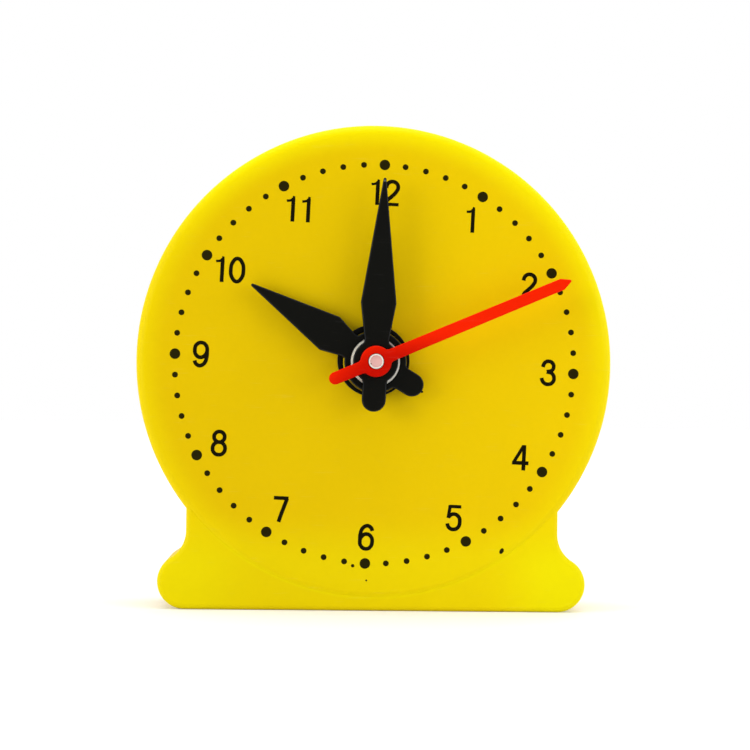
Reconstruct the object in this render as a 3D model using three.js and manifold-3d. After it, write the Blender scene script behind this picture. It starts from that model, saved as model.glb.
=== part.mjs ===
// Teaching clock model with three hands: a moulded dial on its base, hands on arbors that run
// one inside the other, and an open gear train behind the dial that keeps the hands in step.
// Millimetres, +Z up, the dial faces -Y, the origin is under the hub on the base's underside.
import * as THREE from 'three';
import { mergeVertices } from 'three/addons/utils/BufferGeometryUtils.js';
import Module from 'manifold-3d';

const wasm = await Module();
wasm.setup();

// Dial and base, seen from the front
const dialRadius = 50;
const hubHeight = 52.2;
const baseHalfWidth = 45;
const footRadius = 5.8;
const neckHalfWidth = 39.1;
const neckCurveRadius = 6.6;

// Depth of the moulding and its walls
const bodyDepth = 24;
const faceThickness = 2.2;
const wallThickness = 2;
const dialEdgeRadius = 2;
const baseStepBack = 0.4;
const baseEdgeRadius = 1.2;
const footWebHalfWidth = 15;

// Bearing boss in the middle of the dial and the ring round it
const bossRadius = 6.64;
const bossHeight = 1;
const bossChamfer = 0.15;
const ringGap = 0.1;
const ringOuterRadius = 7.55;
const ringHeight = 0.8;
const ringChamfer = 0.15;

// Arbors, one inside the other, and the clearances between them
const arborRadius = 1.54;
const minuteTubeRadius = 3;
const hourTubeRadius = 5.12;
const runningClearance = 0.15;
const pressClearance = 0.12;
const thrustGap = 0.3;
const washerThickness = 0.3;

// Hands: places along the hub axis
const hourHandGap = 1.4;
const handGap = 0.4;
const hourHandThickness = 2;
const minuteHandThickness = 1.8;
const secondHandThickness = 1.8;
const arborEndHeight = 0.2;
const handBevel = 0.25;

// Clockwise angle of each hand from straight up
const hourHandAngle = 301.3;
const minuteHandAngle = 2.2;
const secondHandAngle = 66.75;

// Gear train: tooth counts give 60 to 1 and 12 to 1, centre distances give the tooth sizes
const secondPinionTeeth = 8;
const secondsWheelTeeth = 60;
const secondsPinionTeeth = 8;
const minuteWheelTeeth = 64;
const minutePinionTeeth = 10;
const motionWheelTeeth = 30;
const motionPinionTeeth = 8;
const hourWheelTeeth = 32;
const secondsCentre = 20.4;
const motionCentre = 22;
const secondsDirection = 0;
const motionDirection = 180;
const trainFrontGap = 1;
const layerGap = 0.6;
const gearThickness = 2;

// Tooth form, in shares of the module, with long pinion teeth and short wheel teeth
const pressureAngle = 20;
const toothBacklash = 0.1;
const pinionForm = { shiftShare: 0.5, tipShare: 1.3, rootShare: 0.75, flankSteps: 2 };
const wheelForm = { shiftShare: -0.5, tipShare: 0.5, rootShare: 1.75, flankSteps: 1 };

// Plain parts of the wheels
const pinRadius = 1;
const pinSeatDepth = 1.4;
const pinEndHeight = 0.3;
const secondsSleeveRadius = 1.7;
const wheelHubRadius = 2.6;
const minuteCollarRadius = 4.3;
const windowCount = 5;
const secondsWindowRadius = 3.4;
const motionWindowRadius = 2.8;
const windowRimWidth = 2.4;

// Bridge over the train, its posts and screws
const bridgeGap = 0.8;
const bridgeThickness = 2.4;
const bridgeArmWidth = 6.5;
const bridgeHubRadius = 8.5;
const bridgeLobeRadius = 4.6;
const bearingRadius = 4.2;
const bearingHeight = 1;
const postRadius = 3.2;
const postClearance = 1.2;
const postHeightFromHub = 17;
const postFootFlare = 0.7;
const screwCoreRadius = 1;
const screwHoleRadius = 1.5;
const screwHeadRadius = 2.4;
const screwHeadHeight = 1.6;
const screwCrownShare = 0.75;
const screwLength = 9;
const screwPilotClearance = 0.12;

// Knob on the rear end of the second arbor
const knobRadius = 10;
const knobLength = 11;
const knobSkirtRadius = 11.4;
const knobSkirtLength = 1.6;
const knobTaper = 0.5;
const knobEndRound = 1.4;
const knobFluteCount = 16;
const knobFluteRadius = 1.3;
const knobFluteDepth = 0.7;
const knobBoreDepth = 7;
const arborFlatDepth = 0.45;

// Facets of round faces, and how far a cutter runs past what it cuts
const fineSteps = 72;
const roundSteps = 32;
const smallSteps = 16;
const pinSteps = 12;
const edgeSteps = 3;
const curveSteps = 4;
const overrun = 1;
const mergeTolerance = 1e-4;

// Planes along the hub axis, from the second hand in front to the knob behind
const dialFace = -bodyDepth / 2;
const rearRim = bodyDepth / 2;
const innerFace = dialFace + faceThickness;
const baseFace = dialFace + baseStepBack;
const bossFront = dialFace - bossHeight;
const hourHandRear = dialFace - hourHandGap;
const hourHandFront = hourHandRear - hourHandThickness;
const minuteHandRear = hourHandFront - handGap;
const minuteHandFront = minuteHandRear - minuteHandThickness;
const secondHandRear = minuteHandFront - handGap;
const secondHandFront = secondHandRear - secondHandThickness;
const hourLayer = layerBehind(innerFace, trainFrontGap);
const motionLayer = layerBehind(hourLayer.rear, layerGap);
const minuteLayer = layerBehind(motionLayer.rear, layerGap);
const secondLayer = layerBehind(minuteLayer.rear, layerGap);
const bridgeFront = secondLayer.rear + bridgeGap;
const bridgeRear = bridgeFront + bridgeThickness;
const bearingRear = bridgeRear + bearingHeight;
const knobFront = bearingRear + washerThickness + thrustGap;

// Axes of the train, as places across the dial from the hub
const hubAxis = [0, 0];
const secondsAxis = across(secondsCentre, secondsDirection);
const motionAxis = across(motionCentre, motionDirection);

// Modules that make each pair of gears fill its centre distance
const secondModule = (2 * secondsCentre) / (secondPinionTeeth + secondsWheelTeeth);
const minuteModule = (2 * secondsCentre) / (secondsPinionTeeth + minuteWheelTeeth);
const motionModule = (2 * motionCentre) / (minutePinionTeeth + motionWheelTeeth);
const hourModule = (2 * motionCentre) / (motionPinionTeeth + hourWheelTeeth);

const secondPinion = { teeth: secondPinionTeeth, module: secondModule, form: pinionForm };
const secondsWheel = { teeth: secondsWheelTeeth, module: secondModule, form: wheelForm };
const secondsPinion = { teeth: secondsPinionTeeth, module: minuteModule, form: pinionForm };
const minuteWheel = { teeth: minuteWheelTeeth, module: minuteModule, form: wheelForm };
const minutePinion = { teeth: minutePinionTeeth, module: motionModule, form: pinionForm };
const motionWheel = { teeth: motionWheelTeeth, module: motionModule, form: wheelForm };
const motionPinion = { teeth: motionPinionTeeth, module: hourModule, form: pinionForm };
const hourWheel = { teeth: hourWheelTeeth, module: hourModule, form: wheelForm };

// Turns at rest that put every pair in mesh, starting from the minute wheel
const minuteTurn = 0;
const secondsTurn = meshedTurn(minuteTurn, minuteWheel, secondsDirection, secondsPinion);
const secondTurn = meshedTurn(secondsTurn, secondsWheel, secondsDirection + 180, secondPinion);
const motionTurn = meshedTurn(minuteTurn, minutePinion, motionDirection, motionWheel);
const hourTurn = meshedTurn(motionTurn, motionPinion, motionDirection + 180, hourWheel);

// Posts stand clear of the widest wheel
const widestWheel = Math.max(...[secondsWheel, minuteWheel, motionWheel, hourWheel].map(tipRadius));
const postOffset = widestWheel + postRadius + postClearance;
const postPlaces = [
  [-postOffset, postHeightFromHub],
  [postOffset, postHeightFromHub],
  [postOffset, -postHeightFromHub],
  [-postOffset, -postHeightFromHub],
];

// Finishes
const yellow = plastic(0xe8c500, 0.42);
const black = plastic(0x15150f, 0.5);
const red = plastic(0xe32010, 0.4);
const white = plastic(0xe9e6dc, 0.45);
const steel = new THREE.MeshStandardMaterial({ color: 0xb9bcc0, roughness: 0.35, metalness: 0.9 });

function plastic(color, roughness) {
  return new THREE.MeshStandardMaterial({ color, roughness, metalness: 0 });
}

// A layer of the train that starts a gap behind a plane
function layerBehind(plane, gap) {
  return { front: plane + gap, rear: plane + gap + gearThickness };
}

// A place at a distance from the hub, in a direction clockwise from straight up
function across(distance, direction) {
  const angle = THREE.MathUtils.degToRad(direction);
  return [distance * Math.sin(angle), distance * Math.cos(angle)];
}

function tipRadius({ teeth, module, form }) {
  return module * (teeth / 2 + form.tipShare);
}

function rootRadius({ teeth, module, form }) {
  return module * (teeth / 2 - form.rootShare);
}

// The turn of a gear that puts its tooth gap on the tooth of the gear it meshes with
function meshedTurn(turn, gear, direction, other) {
  const toothShare = ((direction - turn) * gear.teeth) / 360;
  return direction + 180 + ((toothShare - 0.5) * 360) / other.teeth;
}

// Closed solid from a three.js geometry
function solidOf(geometry) {
  geometry.deleteAttribute('normal');
  geometry.deleteAttribute('uv');
  const merged = mergeVertices(geometry, mergeTolerance);
  const corners = merged.getIndex().array;
  const triangles = [];
  for (let i = 0; i < corners.length; i += 3) {
    const [a, b, c] = corners.slice(i, i + 3);
    if (a !== b && b !== c && c !== a) triangles.push(a, b, c);
  }
  const vertProperties = merged.getAttribute('position').array;
  const triVerts = Uint32Array.from(triangles);
  return new wasm.Manifold(new wasm.Mesh({ numProp: 3, vertProperties, triVerts }));
}

function geometryOf(solid) {
  const { vertProperties, triVerts } = solid.getMesh();
  const geometry = new THREE.BufferGeometry();
  geometry.setAttribute('position', new THREE.BufferAttribute(vertProperties, 3));
  geometry.setIndex(new THREE.BufferAttribute(triVerts, 1));
  geometry.computeVertexNormals();
  return geometry;
}

// Round bar along the hub axis between two planes
function rod(radius, front, rear, [x, z] = hubAxis, steps = roundSteps) {
  const bar = new THREE.CylinderGeometry(radius, radius, rear - front, steps);
  return solidOf(bar.translate(x, (front + rear) / 2, z));
}

// Body of revolution about the hub axis, from a profile of radius and depth
function turned(profile, steps = roundSteps) {
  const points = profile.map(([radius, depth]) => new THREE.Vector2(radius, depth));
  if (THREE.ShapeUtils.isClockWise(points)) points.reverse();
  const open = points[0].x === 0 && points.at(-1).x === 0;
  if (!open) points.push(points[0].clone());
  return solidOf(new THREE.LatheGeometry(points, steps));
}

// Flat shape drawn as seen from the front, given its thickness between two planes
function plate(shape, front, rear, bevel = 0, bevelSegments = 1) {
  const slab = new THREE.ExtrudeGeometry(shape, {
    depth: rear - front - 2 * bevel,
    bevelEnabled: bevel > 0,
    bevelSize: bevel,
    bevelThickness: bevel,
    bevelOffset: -bevel,
    bevelSegments,
    curveSegments: curveSteps,
  });
  return solidOf(slab.rotateX(Math.PI / 2).translate(0, rear - bevel, 0));
}

// Corners of a rounded edge, a quarter turn about its centre
function roundedEdge(centre, radius, startAngle) {
  return Array.from({ length: edgeSteps + 1 }, (_, i) => {
    const angle = startAngle + (i * Math.PI) / 2 / edgeSteps;
    return [centre[0] + radius * Math.cos(angle), centre[1] + radius * Math.sin(angle)];
  });
}

// Involute spur gear between two planes, its first tooth straight up
function gear(spec, front, rear) {
  const { teeth, module, form } = spec;
  const alpha = THREE.MathUtils.degToRad(pressureAngle);
  const involute = (angle) => Math.tan(angle) - angle;
  const pitch = (module * teeth) / 2;
  const base = pitch * Math.cos(alpha);
  const tip = tipRadius(spec);
  const root = rootRadius(spec);
  const pitchHalfTooth =
    (Math.PI / 2 + 2 * form.shiftShare * Math.tan(alpha)) / teeth - toothBacklash / 2 / pitch;
  const halfTooth = (radius) => {
    const angle = Math.acos(Math.min(base / radius, 1));
    return pitchHalfTooth + involute(alpha) - involute(angle);
  };
  const flankStart = Math.max(base, root);
  const radii = Array.from(
    { length: form.flankSteps + 1 },
    (_, i) => flankStart + ((tip - flankStart) * i) / form.flankSteps,
  );
  if (root < base) radii.unshift(root);
  const points = [];
  for (let tooth = 0; tooth < teeth; tooth += 1) {
    const middle = (2 * Math.PI * tooth) / teeth;
    const corner = (radius, angle) =>
      new THREE.Vector2(radius * Math.sin(angle), radius * Math.cos(angle));
    points.push(...radii.map((radius) => corner(radius, middle - halfTooth(radius))));
    points.push(...radii.toReversed().map((radius) => corner(radius, middle + halfTooth(radius))));
  }
  return plate(new THREE.Shape(points), front, rear);
}

// Round windows between a wheel's hub and its rim
function windowed(wheel, layer, rim, hub, windowRadius) {
  const place = Math.min(rim - windowRimWidth - windowRadius, (rim + hub) / 2);
  let result = wheel;
  for (let i = 0; i < windowCount; i += 1) {
    const centre = across(place, (360 * (i + 0.5)) / windowCount);
    const cutter = rod(windowRadius, layer.front - overrun, layer.rear + overrun, centre, smallSteps);
    result = result.subtract(cutter);
  }
  return result;
}

// Outline of the base with its feet, drawn in by an inset
function baseOutline(inset) {
  const footCentre = [baseHalfWidth - footRadius, footRadius];
  const reach = footRadius + neckCurveRadius;
  const neckX = neckHalfWidth + neckCurveRadius;
  const neckZ = footCentre[1] + Math.sqrt(reach ** 2 - (neckX - footCentre[0]) ** 2);
  const joint = Math.atan2(neckZ - footCentre[1], neckX - footCentre[0]);
  const foot = footRadius - inset;
  const neck = neckCurveRadius + inset;
  const shape = new THREE.Shape();
  shape.moveTo(-footCentre[0], inset);
  shape.absarc(footCentre[0], footCentre[1], foot, -Math.PI / 2, joint, false);
  shape.absarc(neckX, neckZ, neck, joint + Math.PI, Math.PI, true);
  shape.lineTo(neckHalfWidth - inset, hubHeight);
  shape.lineTo(-neckHalfWidth + inset, hubHeight);
  shape.absarc(-neckX, neckZ, neck, 0, -joint, true);
  shape.absarc(-footCentre[0], footCentre[1], foot, Math.PI - joint, Math.PI * 1.5, false);
  return shape;
}

// Post for the bridge, flared where it leaves the dial plate, with a pilot hole for its screw
function post() {
  const pilotFront = bridgeRear - screwLength - screwPilotClearance;
  return turned(
    [
      [screwCoreRadius + screwPilotClearance, bridgeFront],
      [postRadius, bridgeFront],
      [postRadius, innerFace + postFootFlare],
      [postRadius + postFootFlare, innerFace],
      [postRadius + postFootFlare, innerFace - faceThickness / 2],
      [0, innerFace - faceThickness / 2],
      [0, pilotFront],
      [screwCoreRadius + screwPilotClearance, pilotFront],
    ],
    smallSteps,
  );
}

// Dial tray and base in one moulding
function makeFrontShell() {
  const bore = hourTubeRadius + runningClearance;
  const innerBossRear = hourLayer.front - thrustGap - washerThickness;
  const edgeCentre = [dialRadius - dialEdgeRadius, dialFace + dialEdgeRadius];
  const chamberRadius = dialRadius - wallThickness;
  const tray = turned(
    [
      [bore, dialFace],
      ...roundedEdge(edgeCentre, dialEdgeRadius, -Math.PI / 2),
      [dialRadius, rearRim],
      [chamberRadius, rearRim],
      [chamberRadius, innerFace],
      [bore, innerFace],
    ],
    fineSteps,
  );
  const boss = turned(
    [
      [bore, bossFront],
      [bossRadius - bossChamfer, bossFront],
      [bossRadius, bossFront + bossChamfer],
      [bossRadius, innerBossRear],
      [bore, innerBossRear],
    ],
    fineSteps / 2,
  );
  const dial = tray.add(boss).translate(0, 0, hubHeight);

  const hub = [0, hubHeight];
  const pastRear = rearRim + overrun;
  const block = plate(baseOutline(0), baseFace, pastRear + baseEdgeRadius, baseEdgeRadius, edgeSteps);
  const behind = new THREE.BoxGeometry(2 * baseHalfWidth + overrun, bodyDepth, 2 * hubHeight + overrun);
  const footWeb = new THREE.BoxGeometry(2 * footWebHalfWidth, 2 * bodyDepth, hubHeight);
  const pockets = plate(baseOutline(wallThickness), baseFace + faceThickness, pastRear)
    .subtract(rod(dialRadius, dialFace - overrun, pastRear + overrun, hub, fineSteps))
    .subtract(solidOf(footWeb.translate(0, 0, hubHeight / 2)));
  const base = block
    .subtract(solidOf(behind.translate(0, rearRim + bodyDepth / 2, hubHeight)))
    .subtract(rod(chamberRadius, innerFace, pastRear, hub, fineSteps))
    .subtract(rod(bore, baseFace - overrun, pastRear, hub, fineSteps))
    .subtract(pockets);

  let shell = dial.add(base);
  for (const [x, z] of postPlaces) shell = shell.add(post().translate(x, 0, z + hubHeight));
  for (const [x, z] of [secondsAxis, motionAxis]) {
    const seat = rod(
      pinRadius + pressClearance,
      innerFace - pinSeatDepth,
      innerFace + overrun,
      [x, z + hubHeight],
      pinSteps,
    );
    shell = shell.subtract(seat);
  }
  return shell;
}

// Flat ring with its front edges taken off
function makeBossRing() {
  const inner = bossRadius + ringGap;
  const front = dialFace - ringHeight;
  return turned([
    [inner, dialFace],
    [inner, front + ringChamfer],
    [inner + ringChamfer, front],
    [ringOuterRadius - ringChamfer, front],
    [ringOuterRadius, front + ringChamfer],
    [ringOuterRadius, dialFace],
  ]);
}

function makeWasher(inner, outer, front, rear) {
  return turned([
    [inner, front],
    [outer, front],
    [outer, rear],
    [inner, rear],
  ]);
}

// Outline of a hand that points straight up: round hub, blade widest near the hub, round tail.
// Each side is drawn from the same corners, and a short blend eases the hub into blade and tail.
function handOutline(hand) {
  const { hubRadius, neckWidth, widestWidth, widestPlace, length, tipRound } = hand;
  const { tailWidth, tailLength, blend } = hand;
  const neck = [neckWidth / 2, Math.sqrt(hubRadius ** 2 - (neckWidth / 2) ** 2)];
  const tail = [tailWidth / 2, -Math.sqrt(hubRadius ** 2 - (tailWidth / 2) ** 2)];
  const neckAngle = Math.atan2(neck[1], neck[0]);
  const tailAngle = Math.atan2(tail[1], tail[0]);
  const blendAngle = blend / hubRadius;
  const slope = Math.atan2(widestWidth / 2 - neck[0], widestPlace - neck[1]);
  const neckOut = [neck[0] + blend * Math.sin(slope), neck[1] + blend * Math.cos(slope)];
  const tailOut = [tail[0], tail[1] - blend];
  const tipLean = Math.atan2(widestWidth / 2 - tipRound, length - tipRound - widestPlace);
  const onHub = (angle) => [hubRadius * Math.cos(angle), hubRadius * Math.sin(angle)];
  const neckHub = onHub(neckAngle - blendAngle);
  const tailHub = onHub(tailAngle + blendAngle);

  const shape = new THREE.Shape();
  shape.moveTo(...tailOut);
  shape.quadraticCurveTo(...tail, ...tailHub);
  shape.absarc(0, 0, hubRadius, tailAngle + blendAngle, neckAngle - blendAngle, false);
  shape.quadraticCurveTo(neck[0], neck[1], neckOut[0], neckOut[1]);
  shape.lineTo(widestWidth / 2, widestPlace);
  shape.absarc(0, length - tipRound, tipRound, tipLean, Math.PI - tipLean, false);
  shape.lineTo(-widestWidth / 2, widestPlace);
  shape.lineTo(-neckOut[0], neckOut[1]);
  shape.quadraticCurveTo(-neck[0], neck[1], -neckHub[0], neckHub[1]);
  const left = Math.PI - neckAngle + blendAngle;
  shape.absarc(0, 0, hubRadius, left, Math.PI - tailAngle - blendAngle, false);
  shape.quadraticCurveTo(-tail[0], tail[1], -tailOut[0], tailOut[1]);
  shape.absarc(0, tailWidth / 2 - tailLength, tailWidth / 2, Math.PI, 2 * Math.PI, false);
  return shape;
}

const hourHand = {
  hubRadius: 6.45,
  bore: hourTubeRadius + pressClearance,
  neckWidth: 4.95,
  widestWidth: 8.02,
  widestPlace: 11.2,
  length: 30.2,
  tipRound: 0.31,
  tailWidth: 4.87,
  tailLength: 11.45,
  blend: 0.6,
};

const minuteHand = {
  hubRadius: 4.68,
  bore: minuteTubeRadius + pressClearance,
  neckWidth: 4.9,
  widestWidth: 7.38,
  widestPlace: 12.2,
  length: 38.2,
  tipRound: 0.31,
  tailWidth: 4.95,
  tailLength: 10.4,
  blend: 0.5,
};

const secondHand = {
  hubRadius: 3.23,
  bore: arborRadius + pressClearance,
  neckWidth: 2.6,
  widestWidth: 2.42,
  widestPlace: 41.75,
  length: 43.75,
  tipRound: 0.3,
  tailWidth: 2.58,
  tailLength: 10.4,
  blend: 0.9,
};

function makeHand(hand, front, rear) {
  const blank = plate(handOutline(hand), front, rear, handBevel);
  return blank.subtract(rod(hand.bore, front - overrun, rear + overrun));
}

// Hour tube and its wheel in one moulding
function makeHourWheel() {
  const tube = rod(hourTubeRadius, hourHandFront, hourLayer.rear);
  const bore = minuteTubeRadius + runningClearance;
  return tube
    .add(gear(hourWheel, hourLayer.front, hourLayer.rear))
    .subtract(rod(bore, hourHandFront - overrun, hourLayer.rear + overrun));
}

// Minute tube, pinion and wheel in one moulding
function makeMinuteWheel() {
  const rear = secondLayer.front - thrustGap;
  const tube = rod(minuteTubeRadius, minuteHandFront, rear);
  const collar = rod(minuteCollarRadius, hourLayer.rear + thrustGap, minuteLayer.rear);
  const hub = rootRadius(minutePinion);
  const wheel = gear(minuteWheel, minuteLayer.front, minuteLayer.rear);
  const rim = rootRadius(minuteWheel);
  return tube
    .add(collar)
    .add(gear(minutePinion, motionLayer.front, minuteLayer.front))
    .add(windowed(wheel, minuteLayer, rim, hub, secondsWindowRadius))
    .subtract(rod(arborRadius + runningClearance, minuteHandFront - overrun, rear + overrun));
}

// Flat of the second arbor that drives the knob
function arborFlat(gap) {
  const width = 2 * arborRadius;
  const flat = new THREE.BoxGeometry(2 * width, knobBoreDepth + overrun, width);
  const height = arborRadius - arborFlatDepth + gap + width / 2;
  return solidOf(flat.translate(0, knobFront + (knobBoreDepth + overrun) / 2, height));
}

function makeSecondArbor() {
  const rear = knobFront + knobBoreDepth - thrustGap;
  const shaft = rod(arborRadius, secondHandFront - arborEndHeight, rear, hubAxis, smallSteps);
  const shoulder = rod(rootRadius(secondPinion), secondLayer.rear, bridgeFront - thrustGap);
  return shaft
    .add(gear(secondPinion, secondLayer.front, secondLayer.rear))
    .add(shoulder)
    .subtract(arborFlat(0));
}

// Loose wheel and pinion that turn together on a pin, with plain hubs to both bearings
function makeLooseWheel(wheel, wheelLayer, pinion, pinionLayer, frontHub, windowRadius) {
  const front = innerFace + thrustGap;
  const rear = bridgeFront - thrustGap;
  const rim = gear(wheel, wheelLayer.front, wheelLayer.rear);
  const hub = Math.max(wheelHubRadius, rootRadius(pinion));
  return windowed(rim, wheelLayer, rootRadius(wheel), hub, windowRadius)
    .add(gear(pinion, pinionLayer.front, wheelLayer.front))
    .add(rod(frontHub, front, wheelLayer.front, hubAxis, smallSteps))
    .add(rod(wheelHubRadius, wheelLayer.front, rear, hubAxis, smallSteps))
    .subtract(
      rod(pinRadius + runningClearance, front - overrun, rear + overrun, hubAxis, pinSteps),
    );
}

function makePin() {
  return rod(pinRadius, innerFace - pinSeatDepth, bridgeRear + pinEndHeight, hubAxis, pinSteps);
}

// Arm of the bridge from the hub to a place, with a round lobe at its end
function bridgeArm([x, z]) {
  const length = Math.hypot(x, z);
  const arm = new THREE.BoxGeometry(bridgeArmWidth, bridgeThickness, length);
  arm.translate(0, (bridgeFront + bridgeRear) / 2, length / 2);
  arm.rotateY(Math.atan2(x, z));
  return solidOf(arm).add(rod(bridgeLobeRadius, bridgeFront, bridgeRear, [x, z], smallSteps));
}

function makeBridge() {
  let bridge = rod(bridgeHubRadius, bridgeFront, bridgeRear).add(
    rod(bearingRadius, bridgeRear, bearingRear),
  );
  const pinPlaces = [secondsAxis, motionAxis];
  for (const place of [...postPlaces, ...pinPlaces]) bridge = bridge.add(bridgeArm(place));
  const drill = (radius, place, steps) => {
    const hole = rod(radius, bridgeFront - overrun, bearingRear + overrun, place, steps);
    bridge = bridge.subtract(hole);
  };
  drill(arborRadius + runningClearance, hubAxis, smallSteps);
  for (const place of pinPlaces) drill(pinRadius + pressClearance, place, pinSteps);
  for (const place of postPlaces) drill(screwHoleRadius, place, pinSteps);
  return bridge;
}

// Pan-head screw, without its thread
function makeScrew() {
  const tip = bridgeRear - screwLength;
  const headTop = bridgeRear + screwHeadHeight;
  return turned(
    [
      [0, tip],
      [screwCoreRadius, tip + screwCoreRadius],
      [screwCoreRadius, bridgeRear],
      [screwHeadRadius, bridgeRear],
      [screwHeadRadius, bridgeRear + screwHeadHeight / 2],
      [screwHeadRadius * screwCrownShare, headTop],
      [0, headTop],
    ],
    pinSteps,
  );
}

// Knob with a skirt, a fluted grip and a rounded end
function makeKnob() {
  const rear = knobFront + knobLength;
  const endRadius = knobRadius - knobTaper;
  const endCentre = [endRadius - knobEndRound, rear - knobEndRound];
  const skirtRear = knobFront + knobSkirtLength;
  let knob = turned([
    [0, knobFront],
    [knobSkirtRadius, knobFront],
    [knobSkirtRadius, skirtRear],
    [knobRadius, skirtRear],
    ...roundedEdge(endCentre, knobEndRound, 0),
    [0, rear],
  ]);
  for (let i = 0; i < knobFluteCount; i += 1) {
    const place = across(knobRadius + knobFluteRadius - knobFluteDepth, (360 * i) / knobFluteCount);
    knob = knob.subtract(rod(knobFluteRadius, skirtRear, rear + overrun, place, pinSteps));
  }
  const boreRadius = arborRadius + pressClearance;
  const bore = rod(boreRadius, knobFront - overrun, knobFront + knobBoreDepth, hubAxis, smallSteps);
  return knob.subtract(bore.subtract(arborFlat(pressClearance)));
}

// The movement: everything placed from the hub axis
const clock = new THREE.Group();
const movement = new THREE.Group();
movement.position.z = hubHeight;
clock.add(movement);

function place(parent, name, solid, material, turn = 0, [x, z] = hubAxis) {
  const mesh = new THREE.Mesh(geometryOf(solid), material);
  mesh.name = name;
  mesh.position.set(x, 0, z);
  mesh.rotation.y = THREE.MathUtils.degToRad(turn);
  parent.add(mesh);
}

place(clock, 'front_shell', makeFrontShell(), yellow);
place(movement, 'boss_ring', makeBossRing(), black);

const hourHandSolid = makeHand(hourHand, hourHandFront, hourHandRear);
const minuteHandSolid = makeHand(minuteHand, minuteHandFront, minuteHandRear);
const secondHandSolid = makeHand(secondHand, secondHandFront, secondHandRear);
place(movement, 'hour_hand', hourHandSolid, black, hourHandAngle);
place(movement, 'minute_hand', minuteHandSolid, black, minuteHandAngle);
place(movement, 'second_hand', secondHandSolid, red, secondHandAngle);

const washerRear = hourLayer.front - thrustGap;
const tubeGap = hourTubeRadius + 2 * runningClearance;
const hourWasher = makeWasher(tubeGap, bossRadius, washerRear - washerThickness, washerRear);
place(movement, 'hour_washer', hourWasher, steel);

place(movement, 'hour_wheel', makeHourWheel(), white, hourTurn);
place(movement, 'minute_wheel', makeMinuteWheel(), white, minuteTurn);
place(movement, 'second_arbor', makeSecondArbor(), white, secondTurn);

const secondsSolid = makeLooseWheel(
  secondsWheel,
  secondLayer,
  secondsPinion,
  minuteLayer,
  secondsSleeveRadius,
  secondsWindowRadius,
);
const motionSolid = makeLooseWheel(
  motionWheel,
  motionLayer,
  motionPinion,
  hourLayer,
  wheelHubRadius,
  motionWindowRadius,
);
place(movement, 'seconds_wheel', secondsSolid, white, secondsTurn, secondsAxis);
place(movement, 'motion_wheel', motionSolid, white, motionTurn, motionAxis);
place(movement, 'seconds_axle_pin', makePin(), steel, 0, secondsAxis);
place(movement, 'motion_axle_pin', makePin(), steel, 0, motionAxis);

place(movement, 'gear_bridge', makeBridge(), white);
postPlaces.forEach((spot, i) => {
  place(movement, `bridge_screw_${i + 1}`, makeScrew(), steel, 0, spot);
});

const knobWasherFront = bearingRear;
const knobWasher = makeWasher(
  arborRadius + 2 * runningClearance,
  bearingRadius,
  knobWasherFront,
  knobWasherFront + washerThickness,
);
place(movement, 'knob_washer', knobWasher, steel);
place(movement, 'knob', makeKnob(), black, secondTurn);

export default clock;
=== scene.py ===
from math import atan2, cos, hypot, pi, radians, sin, sqrt

import bmesh
import bpy
from mathutils import Matrix, Quaternion, Vector


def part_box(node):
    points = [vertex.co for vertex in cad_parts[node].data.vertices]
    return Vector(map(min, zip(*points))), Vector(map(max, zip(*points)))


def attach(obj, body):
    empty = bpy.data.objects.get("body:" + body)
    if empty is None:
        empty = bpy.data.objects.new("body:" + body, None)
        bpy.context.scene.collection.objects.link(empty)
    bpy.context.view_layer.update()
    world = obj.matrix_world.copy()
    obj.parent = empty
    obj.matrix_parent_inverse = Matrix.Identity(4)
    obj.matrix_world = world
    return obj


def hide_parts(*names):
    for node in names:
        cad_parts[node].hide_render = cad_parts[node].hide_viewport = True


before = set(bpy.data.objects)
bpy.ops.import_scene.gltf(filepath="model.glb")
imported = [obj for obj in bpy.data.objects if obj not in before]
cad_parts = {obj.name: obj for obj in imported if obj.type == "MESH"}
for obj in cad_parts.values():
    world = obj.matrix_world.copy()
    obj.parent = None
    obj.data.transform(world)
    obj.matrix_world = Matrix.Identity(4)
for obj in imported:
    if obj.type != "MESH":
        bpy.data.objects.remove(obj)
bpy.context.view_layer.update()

# Studio.
# The clock stands on a sweep of white paper in a white room, which is darker behind the camera.
# Soft boxes light it from both sides, its top edge from above and its open back from behind. It
# is seen from a little left of its middle and a little below.
mm = 0.001
camera_azimuth = -2.17
camera_elevation = -0.95
camera_roll = 0.73
camera_distance = 400 * mm
camera_aim = Vector((0.08 * mm, -12 * mm, 49.51 * mm))
camera_lens = 91.52
camera_clip = (10 * mm, 20000 * mm)
sweep_radius = 4000 * mm
sweep_steps = 96
sweep_colour = (0.82, 0.82, 0.82, 1)
sweep_roughness = 0.9
sweep_specular = 0.1
sweep_glow = (0.2, 0.36)
sweep_glow_reach = (90 * mm, 500 * mm)
white_light = (1, 1, 1, 1)
room_light = 0.95
camera_side_share = 0.2
camera_side_reach = (-0.85, -0.35)
# Places and sizes of the lamps are in millimetres
soft_boxes = {
    "left": {"place": (-760, -480, 220), "size": 520, "watts": 2.85},
    "right": {"place": (760, -480, 200), "size": 700, "watts": 2.6},
    "top": {"place": (0, -60, 800), "size": 600, "watts": 1.8},
    "back": {"place": (260, 900, 380), "size": 800, "watts": 1.5},
}

camera = bpy.data.objects.new("camera", bpy.data.cameras.new("camera"))
bpy.context.scene.collection.objects.link(camera)
camera.data.lens = camera_lens
camera.data.clip_start, camera.data.clip_end = camera_clip
azimuth, elevation = radians(camera_azimuth), radians(camera_elevation)
towards_camera = Vector(
    (sin(azimuth) * cos(elevation), -cos(azimuth) * cos(elevation), sin(elevation))
)
camera.location = camera_aim + camera_distance * towards_camera
camera.rotation_mode = "QUATERNION"
roll = Quaternion((0, 0, 1), radians(camera_roll))
camera.rotation_quaternion = (-towards_camera).to_track_quat("-Z", "Y") @ roll
bpy.context.scene.camera = camera
bpy.context.scene.view_settings.view_transform = "Standard"

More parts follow.
